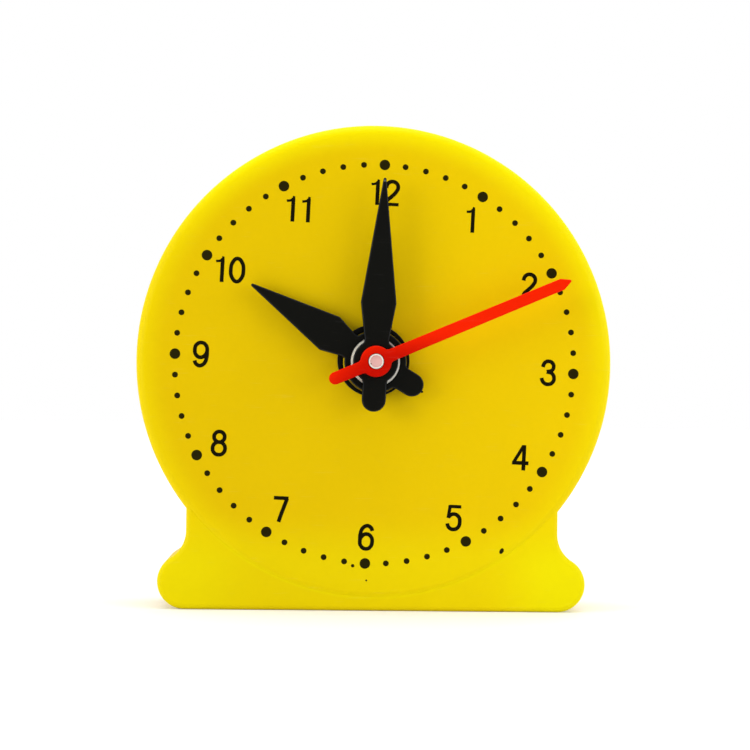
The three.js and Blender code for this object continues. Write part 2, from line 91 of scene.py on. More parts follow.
for name, box in soft_boxes.items():
    lamp = bpy.data.lights.new(name, "AREA")
    lamp.shape = "DISK"
    lamp.size = box["size"] * mm
    lamp.energy = box["watts"]
    light = bpy.data.objects.new(name, lamp)
    light.location = Vector(box["place"]) * mm
    light.rotation_mode = "QUATERNION"
    light.rotation_quaternion = (camera_aim - light.location).to_track_quat("-Z", "Y")
    bpy.context.scene.collection.objects.link(light)


def ramp(tree, value, low, high, to_low=0, to_high=1):
    """Maps a value between two bounds onto two others, smoothly."""
    node = tree.nodes.new("ShaderNodeMapRange")
    node.interpolation_type = "SMOOTHSTEP"
    node.inputs["From Min"].default_value = low
    node.inputs["From Max"].default_value = high
    for socket, bound in (("To Min", to_low), ("To Max", to_high)):
        if isinstance(bound, (int, float)):
            node.inputs[socket].default_value = bound
        else:
            tree.links.new(bound, node.inputs[socket])
    tree.links.new(value, node.inputs["Value"])
    return node.outputs["Result"]


def reckon(tree, operation, *values):
    """Works one sum in a shader on numbers and sockets."""
    node = tree.nodes.new("ShaderNodeMath")
    node.operation = operation
    for socket, value in zip(node.inputs, values):
        if isinstance(value, (int, float)):
            socket.default_value = value
        else:
            tree.links.new(value, socket)
    return node.outputs["Value"]


def times(tree, value, *others):
    """Multiplies two or more numbers and sockets in a shader."""
    for other in others:
        value = reckon(tree, "MULTIPLY", value, other)
    return value


def seen_directly(tree):
    """One for what the camera sees straight, in a mirror or through glass, else nought."""
    path = tree.nodes.new("ShaderNodeLightPath")
    total = path.outputs["Is Camera Ray"]
    for ray in ("Is Glossy Ray", "Is Transmission Ray"):
        total = reckon(tree, "MAXIMUM", total, path.outputs[ray])
    return total


room = bpy.data.worlds.new("white_room")
room.use_nodes = True
bpy.context.scene.world = room
tree = room.node_tree
background = tree.nodes["Background"]
background.inputs["Color"].default_value = white_light
direction = tree.nodes.new("ShaderNodeSeparateXYZ")
seen_way = tree.nodes.new("ShaderNodeTexCoord").outputs["Generated"]
tree.links.new(seen_way, direction.inputs["Vector"])
camera_side_light = room_light * camera_side_share
walls = ramp(tree, direction.outputs["Y"], *camera_side_reach, camera_side_light, room_light)
strength = ramp(tree, seen_directly(tree), 0, 1, walls, 1)
tree.links.new(strength, background.inputs["Strength"])

bm = bmesh.new()
bmesh.ops.create_circle(bm, cap_ends=True, segments=sweep_steps, radius=sweep_radius)
sweep_mesh = bpy.data.meshes.new("sweep")
bm.to_mesh(sweep_mesh)
bm.free()
sweep = bpy.data.objects.new("sweep", sweep_mesh)
bpy.context.scene.collection.objects.link(sweep)
paper = bpy.data.materials.new("sweep_paper")
paper.use_nodes = True
tree = paper.node_tree
shader = tree.nodes["Principled BSDF"]
shader.inputs["Base Color"].default_value = sweep_colour
shader.inputs["Roughness"].default_value = sweep_roughness
shader.inputs["Specular IOR Level"].default_value = sweep_specular
shader.inputs["Emission Color"].default_value = white_light
from_clock = tree.nodes.new("ShaderNodeVectorMath")
from_clock.operation = "LENGTH"
tree.links.new(tree.nodes.new("ShaderNodeTexCoord").outputs["Object"], from_clock.inputs[0])
glow = ramp(tree, from_clock.outputs["Value"], *sweep_glow_reach, *sweep_glow)
glow = times(tree, glow, seen_directly(tree))
tree.links.new(glow, shader.inputs["Emission Strength"])
sweep_mesh.materials.append(paper)

# Dial shell.
# One yellow plastic moulding: a round dial with a rolled edge and a deep rim, on a base with
# two round feet. It is hollow behind, where four posts carry the bridge of the gear train.
hub_height = 52.2 * mm
dial_radius = 50 * mm
dial_face = -12 * mm
rear_rim = 12 * mm
inner_face = -9.8 * mm
wall = 2 * mm
dial_edge_radius = 2 * mm
dial_edge_steps = 8
dial_steps = 240
inner_corner_radius = 0.8 * mm
inner_corner_steps = 4
rim_edge = 0.3 * mm
boss_radius = 6.64 * mm
boss_front = -13 * mm
boss_rear = -9.4 * mm
boss_edge = 0.15 * mm
boss_steps = 120
hour_bore = 5.27 * mm
base_half_width = 45 * mm
base_face = -11.6 * mm
base_thickness = 2.2 * mm
base_edge_radius = 1.2 * mm
base_edge_steps = 6
base_opening_radius = 25 * mm
base_opening_steps = 96
foot_radius = 5.8 * mm
foot_steps = 28
neck_half_width = 39.1 * mm
neck_curve_radius = 6.6 * mm
neck_steps = 10
foot_web_half_width = 15 * mm
# Places on the dial are in millimetres, across and up from the hub
post_places = [(22.82, 17), (-22.82, 17), (22.82, -17), (-22.82, -17)]
post_radius = 3.2 * mm
post_flare = 0.7 * mm
post_rear = 1.8 * mm
post_edge = 0.2 * mm
pilot_radius = 1.12 * mm
pin_places = [(0, 20.4), (0, -22)]
pin_seat_radius = 1.12 * mm
pin_seat_depth = 1.4 * mm
ejector_radius = 2 * mm
ejector_depth = 0.12 * mm
ejector_places = [(38, 0), (-38, 0), (0, 38), (27, 29), (-27, 29)]
overrun = 1 * mm
weld = 0.001 * mm
same_plane = 0.01 * mm
sharp_angle = 32
steep_angle = 60
fine_edge_steps = 3
hub = Vector((0, 0, hub_height))
# Painted light and shade on the yellow: the face is lighter to the right, with painted glow at the
# rim, the feet and the crease, and painted shade in the gap round the boss
yellow_shaded_left = (0.765, 0.52, 0, 1)
yellow_lit_right = (0.85, 0.59, 0, 1)
yellow_rim = (1, 0.9, 0, 1)
yellow_foot = (0.93, 0.9, 0, 1)
yellow_speck = (0.95, 0.87, 0.45, 1)
left_to_right = (-40 * mm, 40 * mm)
rim_glow_reach = (43.5 * mm, 51 * mm)
rim_glow_rise = (-45 * mm, 45 * mm)
rim_glow_low = 0.3
rim_glow_top = (0.42, 0.85)
rim_glow_top_reach = (-48 * mm, -25 * mm)
base_glow_top = (9 * mm, 22 * mm)
base_glow_middle = 0.3
foot_glow = (0.46, 0.65)
foot_glow_reach = (22 * mm, 39 * mm)
# Painted light over the crease where the dial's edge meets the base, to soften its shade
crease_radius = 49.2 * mm
crease_glow = 0.12
crease_glow_reach = (0.2 * mm, 0.8 * mm)
inside_reach = (dial_face + 2 * mm, dial_face + 6 * mm)
inside_share = 0.3
# Painted shade in the narrow gap round the boss, left off at its lit left side
painted_gap_shade_colour = (0.09, 0.06, 0.01, 1)
painted_gap_shade_share = 0.8
painted_gap_shade_reach = (6.9 * mm, 7 * mm)
lit_gap_side_reach = (-6.2 * mm, -5 * mm)


def start(across, up):
    """The first corner of an outline, across and up the dial's front."""
    bm = bmesh.new()
    made = bmesh.ops.create_vert(bm, co=(across, 0, up))
    return bm, made["vert"][0]


def reach(bm, corner, across, up):
    """Draws a straight edge from a corner to a place on the dial's front."""
    new = bmesh.ops.extrude_vert_indiv(bm, verts=[corner])["verts"][0]
    new.co = (across, corner.co.y, up)
    return new


def swing(bm, corner, across, up, angle, steps):
    """Draws an arc from a corner round a centre, clockwise as seen from the front."""
    made = bmesh.ops.spin(
        bm, geom=[corner], cent=(across, 0, up), axis=(0, 1, 0), angle=angle, steps=steps
    )
    return next(v for v in made["geom_last"] if isinstance(v, bmesh.types.BMVert))


def slab(bm, front, rear):
    """Fills a closed outline and gives it its thickness along the hub's axis."""
    bmesh.ops.remove_doubles(bm, verts=bm.verts, dist=weld)
    bmesh.ops.translate(bm, verts=bm.verts, vec=(0, front, 0))
    face = bmesh.ops.contextual_create(bm, geom=bm.edges)["faces"]
    made = bmesh.ops.extrude_face_region(bm, geom=face, use_keep_orig=True)["geom"]
    rear_verts = [v for v in made if isinstance(v, bmesh.types.BMVert)]
    bmesh.ops.translate(bm, verts=rear_verts, vec=(0, rear - front, 0))
    bmesh.ops.recalc_face_normals(bm, faces=bm.faces)
    return bm


def turned(profile, steps=64, centre=(0, 0)):
    """Spins a profile of radius and depth round an axis that runs along the hub's axis."""
    bm, corner = start(0, 0)
    corner.co = (*profile[0], 0)
    first = corner
    for radius, depth in profile[1:]:
        corner = bmesh.ops.extrude_vert_indiv(bm, verts=[corner])["verts"][0]
        corner.co = (radius, depth, 0)
    if profile[0][0] > 0 or profile[-1][0] > 0:
        bmesh.ops.contextual_create(bm, geom=[corner, first])
    bmesh.ops.spin(
        bm, geom=bm.verts[:] + bm.edges[:], axis=(0, 1, 0), angle=2 * pi, steps=steps,
        use_merge=True,
    )
    bmesh.ops.remove_doubles(bm, verts=bm.verts, dist=weld)
    bmesh.ops.dissolve_degenerate(bm, edges=bm.edges, dist=weld)
    bmesh.ops.recalc_face_normals(bm, faces=bm.faces)
    place = hub + Vector((centre[0], 0, centre[1])) * mm
    bmesh.ops.translate(bm, verts=bm.verts, vec=place)
    return bm


def rod(radius, front, rear, centre=(0, 0), steps=48):
    """A plain round bar that runs along the hub's axis."""
    return turned([(0, front), (radius, front), (radius, rear), (0, rear)], steps, centre)


def soften(bm, width, segments=2, sharp=sharp_angle, chosen=None):
    """Rounds the sharp edges of a moulding."""
    edges = [
        e for e in bm.edges
        if e.is_manifold and e.calc_face_angle(0) > radians(sharp) and (not chosen or chosen(e))
    ]
    bmesh.ops.bevel(
        bm, geom=edges, offset=width, segments=segments, profile=0.5, affect="EDGES",
        clamp_overlap=True, material=-1,
    )
    return bm


def fused(body, tool, operation="UNION"):
    """Joins a tool's solid to a body, or cuts it away, and uses both up."""
    blanks = []
    for bm in (body, tool):
        mesh = bpy.data.meshes.new("blank")
        bm.to_mesh(mesh)
        bm.free()
        blanks.append(bpy.data.objects.new("blank", mesh))
        bpy.context.scene.collection.objects.link(blanks[-1])
    join = blanks[0].modifiers.new("join", "BOOLEAN")
    join.operation, join.object, join.solver = operation, blanks[1], "MANIFOLD"
    result = bmesh.new()
    result.from_object(blanks[0], bpy.context.evaluated_depsgraph_get())
    for blank in blanks:
        bpy.data.meshes.remove(blank.data)
    return result


def cut(body, tool):
    """Cuts a tool's solid out of a body, and uses both up."""
    return fused(body, tool, "DIFFERENCE")


def piece(name, bm, material, body, slot, *nodes):
    """Makes a finished mesh a piece that rides on its body in place of its CAD nodes."""
    mesh = bpy.data.meshes.new(name)
    bm.to_mesh(mesh)
    bm.free()
    mesh.materials.append(material)
    mesh.shade_smooth()
    mesh.set_sharp_from_angle(angle=radians(sharp_angle))
    obj = bpy.data.objects.new(name, mesh)
    bpy.context.scene.collection.objects.link(obj)
    even = obj.modifiers.new("even_shading", "WEIGHTED_NORMAL")
    even.keep_sharp = True
    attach(obj, body)
    if nodes:
        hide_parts(*nodes)


def node_group(name, inputs, outputs):
    """An empty shader group with its sockets, and its two end nodes."""
    group = bpy.data.node_groups.new(name, "ShaderNodeTree")
    for socket, kind, value in inputs:
        made = group.interface.new_socket(socket, in_out="INPUT", socket_type=kind)
        made.default_value = value
    for socket, kind in outputs:
        group.interface.new_socket(socket, in_out="OUTPUT", socket_type=kind)
    return group, group.nodes.new("NodeGroupInput"), group.nodes.new("NodeGroupOutput")


def noise(tree, vector, scale, detail, roughness=0.5):
    """A random pattern of values round one half, finer as its scale rises."""
    node = tree.nodes.new("ShaderNodeTexNoise")
    node.inputs["Scale"].default_value = scale
    node.inputs["Detail"].default_value = detail
    node.inputs["Roughness"].default_value = roughness
    tree.links.new(vector, node.inputs["Vector"])
    return node.outputs["Fac"]


def blend(tree, share, first, second):
    """Mixes two colours by a share, each a colour or a socket. On the node, the colours are
    sockets 6 and 7 going in and socket 2 coming out."""
    node = tree.nodes.new("ShaderNodeMix")
    node.data_type = "RGBA"
    for index, value in ((0, share), (6, first), (7, second)):
        if isinstance(value, (int, float, tuple)):
            node.inputs[index].default_value = value
        else:
            tree.links.new(value, node.inputs[index])
    return node.outputs[2]


# Skin of a moulded plastic part: cloudy colour, fine grain, hair scratches and a few specks
cloud_scale, cloud_detail, cloud_roughness = 45, 4, 0.55
mottle_scale, mottle_detail = 900, 2
grain_scale, grain_detail = 5200, 2
grain_depth = 0.02 * mm
dust_scale = 260
dust_least = 0.93
dust_reach = (0.02, 0.045)
hair_stretch = (1, 1, 16)
hair_turn = (0.3, 0.5, 0.4)
hair_scale, hair_detail, hair_roughness = 160, 5, 0.65
hair_reach = (0.62, 0.68)
middle_grey = 0.5
fine_mottle_share = 0.5
hair_speck_share = 0.12
hair_rough_share = 0.25
hair_height_share = -1.4
cloud_rough_share = 0.8
skin, skin_in, skin_out = node_group(
    "moulded_skin",
    [
        ("Colour", "NodeSocketColor", (0.5, 0.5, 0.5, 1)),
        ("Speck Colour", "NodeSocketColor", (0.8, 0.8, 0.8, 1)),
        ("Cloud", "NodeSocketFloat", 0.05),
        ("Specks", "NodeSocketFloat", 0.2),
        ("Roughness", "NodeSocketFloat", 0.45),
        ("Grain", "NodeSocketFloat", 0.1),
        ("Scratches", "NodeSocketFloat", 0.3),
    ],
    [
        ("Colour", "NodeSocketColor"), ("Roughness", "NodeSocketFloat"),
        ("Normal", "NodeSocketVector"),
    ],
)
place = skin.nodes.new("ShaderNodeTexCoord").outputs["Object"]
cloud = noise(skin, place, cloud_scale, cloud_detail, cloud_roughness)
cloud = reckon(skin, "SUBTRACT", cloud, middle_grey)
cloud = times(skin, cloud, skin_in.outputs["Cloud"])
mottle = reckon(skin, "SUBTRACT", noise(skin, place, mottle_scale, mottle_detail), middle_grey)
mottle = times(skin, mottle, skin_in.outputs["Cloud"], fine_mottle_share)
value = reckon(skin, "ADD", 1, reckon(skin, "ADD", cloud, mottle))
tint = skin.nodes.new("ShaderNodeHueSaturation")
skin.links.new(value, tint.inputs["Value"])
skin.links.new(skin_in.outputs["Colour"], tint.inputs["Color"])
dust = skin.nodes.new("ShaderNodeTexVoronoi")
dust.inputs["Scale"].default_value = dust_scale
skin.links.new(place, dust.inputs["Vector"])
cell = skin.nodes.new("ShaderNodeSeparateColor")
skin.links.new(dust.outputs["Color"], cell.inputs["Color"])
dusty = reckon(skin, "GREATER_THAN", cell.outputs["Red"], dust_least)
speck = ramp(skin, dust.outputs["Distance"], *dust_reach, 1, 0)
speck = times(skin, speck, dusty, skin_in.outputs["Specks"])
stretch = skin.nodes.new("ShaderNodeMapping")
stretch.inputs["Scale"].default_value = hair_stretch
stretch.inputs["Rotation"].default_value = hair_turn
skin.links.new(place, stretch.inputs["Vector"])
hair = noise(skin, stretch.outputs["Vector"], hair_scale, hair_detail, hair_roughness)
hair = times(skin, ramp(skin, hair, *hair_reach), skin_in.outputs["Scratches"])
speck = reckon(skin, "ADD", speck, times(skin, hair, hair_speck_share))
colour = blend(skin, speck, tint.outputs["Color"], skin_in.outputs["Speck Colour"])
skin.links.new(colour, skin_out.inputs["Colour"])
rough = times(skin, hair, hair_rough_share)
rough = reckon(skin, "ADD", skin_in.outputs["Roughness"], rough)
rough = reckon(skin, "ADD", rough, times(skin, cloud, cloud_rough_share))
skin.links.new(rough, skin_out.inputs["Roughness"])
grain = noise(skin, place, grain_scale, grain_detail)
height = reckon(skin, "ADD", grain, times(skin, hair, hair_height_share))
bump = skin.nodes.new("ShaderNodeBump")
bump.inputs["Distance"].default_value = grain_depth
skin.links.new(skin_in.outputs["Grain"], bump.inputs["Strength"])
skin.links.new(height, bump.inputs["Height"])
skin.links.new(bump.outputs["Normal"], skin_out.inputs["Normal"])


def finish(name, colour, speck_colour, specular, metal=0, **values):
    """A material on the shared skin, with its own values."""
    material = bpy.data.materials.new(name)
    material.use_nodes = True
    tree = material.node_tree
    shader = tree.nodes["Principled BSDF"]
    shader.inputs["Specular IOR Level"].default_value = specular
    shader.inputs["Metallic"].default_value = metal
    group = tree.nodes.new("ShaderNodeGroup")
    group.node_tree = skin
    if isinstance(colour, tuple):
        group.inputs["Colour"].default_value = colour
    else:
        tree.links.new(colour(tree), group.inputs["Colour"])
    group.inputs["Speck Colour"].default_value = speck_colour
    for socket, value in values.items():
        group.inputs[socket].default_value = value
    tree.links.new(group.outputs["Colour"], shader.inputs["Base Color"])
    tree.links.new(group.outputs["Roughness"], shader.inputs["Roughness"])
    tree.links.new(group.outputs["Normal"], shader.inputs["Normal"])
    return material


def places_round_hub(tree):
    """Sockets of a place's x, y and z, its height over the hub and its distance from that."""
    place = tree.nodes.new("ShaderNodeTexCoord").outputs["Object"]
    spread = tree.nodes.new("ShaderNodeSeparateXYZ")
    tree.links.new(place, spread.inputs["Vector"])
    x, y, z = (spread.outputs[axis] for axis in "XYZ")
    up = reckon(tree, "SUBTRACT", z, hub_height)
    squares = reckon(tree, "ADD", reckon(tree, "POWER", x, 2), reckon(tree, "POWER", up, 2))
    return x, y, z, up, reckon(tree, "SQRT", squares)


def yellow_by_place(tree):
    """Painted light and shade: darker to the left, and a painted glow where light would come in
    through a front edge, the feet or the dial's lower edge. The narrow gap round the boss is
    darkened with painted shade, but at its left."""
    x, y, z, up, from_hub = places_round_hub(tree)
    above_base = ramp(tree, z, *base_glow_top)
    inside = ramp(tree, y, *inside_reach, 1, inside_share)
    rim_glow = ramp(tree, x, *rim_glow_top_reach, *rim_glow_top)
    rim_glow = ramp(tree, up, *rim_glow_rise, rim_glow_low, rim_glow)
    rim_glow = times(tree, rim_glow, ramp(tree, from_hub, *rim_glow_reach), above_base, inside)
    base_glow = ramp(tree, x, *left_to_right, *foot_glow)
    aside = reckon(tree, "ABSOLUTE", x)
    base_glow = ramp(tree, aside, *foot_glow_reach, base_glow_middle, base_glow)
    from_crease = reckon(tree, "ABSOLUTE", reckon(tree, "SUBTRACT", from_hub, crease_radius))
    at_crease = ramp(tree, from_crease, *crease_glow_reach, crease_glow, 0)
    base_glow = reckon(tree, "ADD", base_glow, at_crease)
    base_glow = times(tree, base_glow, reckon(tree, "SUBTRACT", 1, above_base), inside)
    face = blend(tree, ramp(tree, x, *left_to_right), yellow_shaded_left, yellow_lit_right)
    face = blend(tree, base_glow, blend(tree, rim_glow, face, yellow_rim), yellow_foot)
    # Painted shade in the gap round the boss, but at its left
    gap_shade = ramp(tree, from_hub, *painted_gap_shade_reach, painted_gap_shade_share, 0)
    gap_shade = times(tree, gap_shade, ramp(tree, x, *lit_gap_side_reach))
    return blend(tree, gap_shade, face, painted_gap_shade_colour)


yellow_plastic = finish(
    "yellow_plastic", yellow_by_place, yellow_speck, specular=0.05,
    Cloud=0.07, Specks=0.35, Roughness=0.42, Grain=0.1, Scratches=0.25,
)

tray = turned(
    [
        (hour_bore, dial_face), (dial_radius, dial_face), (dial_radius, rear_rim),
        (dial_radius - wall, rear_rim), (dial_radius - wall, inner_face), (hour_bore, inner_face),
    ],
    dial_steps,
)


def edges_at(depth, beyond=0):
    """A test for edges that lie across the hub's axis at one depth, beyond a radius from it."""
    return lambda edge: all(
        abs(v.co.y - depth) < same_plane and hypot(v.co.x, v.co.z - hub_height) >= beyond
        for v in edge.verts
    )


soften(tray, dial_edge_radius, dial_edge_steps, chosen=edges_at(dial_face, boss_radius))
soften(tray, inner_corner_radius, inner_corner_steps, chosen=edges_at(inner_face, boss_radius))
soften(tray, rim_edge)
boss = turned(
    [
        (hour_bore, boss_front), (boss_radius, boss_front),
        (boss_radius, boss_rear), (hour_bore, boss_rear),
    ],
    boss_steps,
)
soften(boss, boss_edge, fine_edge_steps)


def base_outline(inset):
    """Outline of the base, drawn down one side and mirrored, brought in by an inset."""
    foot_centre = (base_half_width - foot_radius, foot_radius)
    neck_x = neck_half_width + neck_curve_radius
    rise = sqrt((foot_radius + neck_curve_radius) ** 2 - (neck_x - foot_centre[0]) ** 2)
    joint = atan2(rise, neck_x - foot_centre[0])
    bm, corner = start(0, inset)
    corner = reach(bm, corner, foot_centre[0], inset)
    corner = swing(bm, corner, *foot_centre, -(joint + pi / 2), foot_steps)
    corner = swing(bm, corner, neck_x, foot_centre[1] + rise, joint, neck_steps)
    corner = reach(bm, corner, neck_half_width - inset, hub_height)
    reach(bm, corner, 0, hub_height)
    bmesh.ops.mirror(
        bm, geom=bm.verts[:] + bm.edges[:], matrix=Matrix(), merge_dist=weld, axis="X"
    )
    return bm


base = slab(base_outline(0), base_face, rear_rim)
soften(base, base_edge_radius, base_edge_steps, chosen=edges_at(base_face))
soften(base, rim_edge, sharp=steep_angle)
pockets = slab(base_outline(wall), base_face + base_thickness, rear_rim + overrun)
dial_disc = rod(dial_radius, dial_face - overrun, rear_rim + 2 * overrun, steps=dial_steps)
pockets = cut(pockets, dial_disc)
web = bmesh.new()
bmesh.ops.create_cube(web, size=2 * hub_height)
bmesh.ops.scale(web, verts=web.verts, vec=(foot_web_half_width / hub_height, 1, 1))
pockets = cut(pockets, web)
dial_room = rod(dial_radius - wall, inner_face, rear_rim + overrun, steps=dial_steps)
base = cut(base, dial_room)
base_opening = rod(base_opening_radius, dial_face - overrun, rear_rim, steps=base_opening_steps)
base = cut(base, base_opening)
base = cut(base, pockets)
shell = fused(fused(tray, boss), base)
flare_rear, flare_front = inner_face + post_flare, inner_face - overrun
for centre in post_places:
    post = turned(
        [
            (pilot_radius, post_rear), (post_radius, post_rear), (post_radius, flare_rear),
            (post_radius + post_flare, inner_face), (post_radius + post_flare, flare_front),
            (0, flare_front), (0, flare_rear), (pilot_radius, flare_rear),
        ],
        centre=centre,
    )
    shell = fused(shell, soften(post, post_edge))
for centre in pin_places:
    seat = rod(pin_seat_radius, inner_face - pin_seat_depth, inner_face + overrun, centre)
    shell = cut(shell, seat)
for centre in ejector_places:
    mark = rod(ejector_radius, inner_face - ejector_depth, inner_face + overrun, centre)
    shell = cut(shell, mark)
piece("dial_shell", shell, yellow_plastic, "housing", "yellow_plastic", "front_shell")

# Print on the dial.
# Black ink, pad printed in one go: sixty dots round the edge, large at each hour, and the hour
# numerals inside them. It sits a little clockwise of upright, with three stray specks of ink.
print_turn = 2.14
print_centre = (0.03, -0.345)
ink_height = 0.03 * mm
ink_bed = 0.01 * mm
print_depth = dial_face - ink_height / 2 + ink_bed
minute_angle, hour_angle = 6, 30
dot_circle = 41.87
hour_dot = 1.11 * mm
minute_dot = 0.61 * mm
dot_steps = 32
numeral_circle = 36.6
numeral_slips = {
    1: (0.4, -0.42), 2: (-0.06, -0.24), 3: (-0.06, -0.03), 4: (-0.07, 0.14), 5: (-0.14, 0.25),
    6: (-0.02, 0.21), 7: (0.24, 0.31), 8: (-0.03, 0.08), 9: (0.12, 0.18), 10: (0.13, -0.16),
    11: (0.73, -0.12), 12: (0.09, -0.57),
}
pair_gaps = {10: 3.5, 11: 3.24, 12: 3.42}
stroke_width = 0.8
fine_stroke_width = 0.69
flag_width = 0.52
bar_width = 0.77
curve_steps = 8
dot_colour = (0.017, 0.0135, 0.001, 1)
numeral_colour = (0.006, 0.005, 0.001, 1)
ink_speck = (0.05, 0.045, 0.02, 1)
specks = [((28.55, -37.93), 0.42, 1.55), ((-2.54, -42.46), 0.36, 1), ((0.46, -45.4), 0.2, 1)]
speck_turn = 24
speck_steps = 14
# Each stroke of a numeral is its kind, its width and the points it runs through, in millimetres
# from the numeral's middle
numeral_lines = {
    "0": [("loop", stroke_width, [
        (0, 2.42), (0.98, 1.62), (1.32, 0), (0.98, -1.62), (0, -2.42), (-0.98, -1.62), (-1.32, 0),
        (-0.98, 1.62),
    ])],
    "1": [
        ("line", stroke_width, [(0.38, 2.3), (0.38, -2.66)]),
        ("curve", flag_width, [(0.55, 2.7), (0.36, 2.2), (-0.04, 1.84), (-0.98, 1.66)]),
    ],
    "2": [
        ("curve", stroke_width, [
            (-1.22, 1.05), (-1.15, 1.5), (-0.8, 2.12), (0, 2.42), (0.95, 2.02), (1.24, 1.2),
            (0.85, 0.25), (-0.1, -0.8), (-0.95, -1.65), (-1.2, -2.4),
        ]),
        ("line", fine_stroke_width, [(-1.56, -2.39), (1.5, -2.39)]),
    ],
    "3": [
        ("curve", stroke_width, [
            (-1.15, 1.15), (-1.05, 1.6), (-0.7, 2.17), (0.05, 2.42), (0.88, 2.02), (1.12, 1.25),
            (0.75, 0.52), (-0.3, 0.2),
        ]),
        ("curve", stroke_width, [
            (-0.3, 0.2), (0.8, -0.1), (1.3, -1.08), (0.95, -2.05), (0, -2.42), (-0.8, -2.15),
            (-1.22, -1.55), (-1.32, -1.13),
        ]),
    ],
    "4": [
        ("line", stroke_width, [(0.66, 2.68), (0.66, -2.66)]),
        ("line", fine_stroke_width, [(0.5, 2.5), (-1.5, -1.12)]),
        ("line", stroke_width, [(-1.78, -1.1), (1.7, -1.1)]),
    ],
    "5": [
        ("line", fine_stroke_width, [(1.46, 2.36), (-0.98, 2.36)]),
        ("line", fine_stroke_width, [(-0.86, 2.6), (-1.18, -0.08)]),
        ("curve", stroke_width, [
            (-1.14, 0.08), (-0.6, 0.62), (0.12, 0.78), (0.98, 0.3), (1.3, -0.78), (0.93, -2.0),
            (0, -2.42), (-0.8, -2.18), (-1.2, -1.65), (-1.3, -1.2),
        ]),
    ],
    "6": [
        ("loop", stroke_width, [
            (0.08, 0.68), (0.98, 0.2), (1.3, -0.88), (0.95, -1.98), (0.02, -2.42), (-0.95, -1.94),
            (-1.28, -0.85), (-0.88, 0.2),
        ]),
        ("curve", stroke_width, [
            (-1.28, -0.85), (-1.24, 0.6), (-0.85, 1.82), (0.1, 2.42), (0.72, 2.22), (1.1, 1.8),
            (1.22, 1.38),
        ]),
    ],
    "7": [
        ("line", bar_width, [(-1.64, 2.34), (1.42, 2.34)]),
        ("curve", stroke_width, [(1.12, 2.3), (0.57, 0.62), (0.04, -1.0), (-0.45, -2.66)]),
    ],
    "8": [
        ("loop", stroke_width, [
            (0, 2.42), (0.8, 2.08), (1.1, 1.32), (0.78, 0.55), (0, 0.22), (-0.78, 0.55),
            (-1.1, 1.32), (-0.8, 2.08),
        ]),
        ("loop", stroke_width, [
            (0, 0.22), (0.93, -0.15), (1.3, -1.1), (0.93, -2.05), (0, -2.42), (-0.93, -2.05),
            (-1.3, -1.1), (-0.93, -0.15),
        ]),
    ],
}
numeral_lines["9"] = [
    (kind, width, [(-x, -z) for x, z in points]) for kind, width, points in numeral_lines["6"]
]

dot_ink, numeral_ink = (
    finish(
        name, colour, ink_speck, specular=0.03,
        Cloud=0.4, Specks=0.3, Roughness=0.5, Grain=0.2, Scratches=0.1,
    )
    for name, colour in (("dot_ink", dot_colour), ("numeral_ink", numeral_colour))
)
to_print = (
    Matrix.Translation(hub + Vector((print_centre[0], 0, print_centre[1])) * mm)
    @ Matrix.Rotation(radians(print_turn), 4, "Y")
)
to_face = Matrix.Rotation(pi / 2, 4, "X")

dots = bmesh.new()
for minute in range(60):
    radius = minute_dot if minute % 5 else hour_dot
    to_minute = Matrix.Rotation(radians(minute_angle * minute), 4, "Y")
    spot = to_minute @ Vector((0, print_depth, dot_circle * mm))
    bmesh.ops.create_cone(
        dots, cap_ends=True, segments=dot_steps, radius1=radius, radius2=radius,
        depth=ink_height, matrix=to_print @ Matrix.Translation(spot) @ to_face,
    )
for (across, up), radius, length in specks:
    spot = Vector((across * mm, print_depth, up * mm))
    to_speck = Matrix.Translation(spot) @ Matrix.Rotation(radians(speck_turn), 4, "Y")
    bmesh.ops.create_cone(
        dots, cap_ends=True, segments=speck_steps, radius1=radius * mm, radius2=radius * mm,
        depth=ink_height, matrix=to_print @ to_speck @ Matrix.Diagonal((1, 1, length, 1)) @ to_face,
    )
bmesh.ops.recalc_face_normals(dots, faces=dots.faces)
piece("dial_dots", dots, dot_ink, "housing", "black_plastic")


def stroke(kind, width, points, centre):
    """One stroke of a numeral: a flat ribbon of ink along a line or curve."""
    section = bpy.data.curves.new("section", "CURVE")
    corners = section.splines.new("POLY")
    corners.points.add(3)
    corners.use_cyclic_u = True
    half_width, half_height = width / 2 * mm, ink_height / 2
    for point, (side, top) in zip(corners.points, ((1, 1), (-1, 1), (-1, -1), (1, -1))):
        point.co = (side * half_width, top * half_height, 0, 1)
    section_object = bpy.data.objects.new("section", section)
    curve = bpy.data.curves.new("stroke", "CURVE")
    curve.dimensions = "3D"
    curve.twist_mode = "Z_UP"
    curve.resolution_u = curve_steps
    curve.bevel_mode = "OBJECT"
    curve.bevel_object = section_object
    curve.use_fill_caps = True
    spline = curve.splines.new("BEZIER")
    spline.bezier_points.add(len(points) - 1)
    spline.use_cyclic_u = kind == "loop"
    for knot, (across, up) in zip(spline.bezier_points, points):
        knot.co = Vector((across, up, 0)) * mm
        knot.handle_left_type = knot.handle_right_type = "VECTOR" if kind == "line" else "AUTO"
    obj = bpy.data.objects.new("stroke", curve)
    bpy.context.scene.collection.objects.link(obj)
    bpy.context.scene.collection.objects.link(section_object)
    bpy.context.view_layer.update()
    evaluated = obj.evaluated_get(bpy.context.evaluated_depsgraph_get())
    mesh = bpy.data.meshes.new_from_object(evaluated)
    mesh.transform(Matrix.Translation((centre[0] * mm, print_depth, centre[1] * mm)) @ to_face)
    ribbon = bmesh.new()
    ribbon.from_mesh(mesh)
    bmesh.ops.remove_doubles(ribbon, verts=ribbon.verts, dist=weld)
    bmesh.ops.recalc_face_normals(ribbon, faces=ribbon.faces)
    bpy.data.meshes.remove(mesh)
    bpy.data.curves.remove(curve)
    bpy.data.curves.remove(section)
    return ribbon


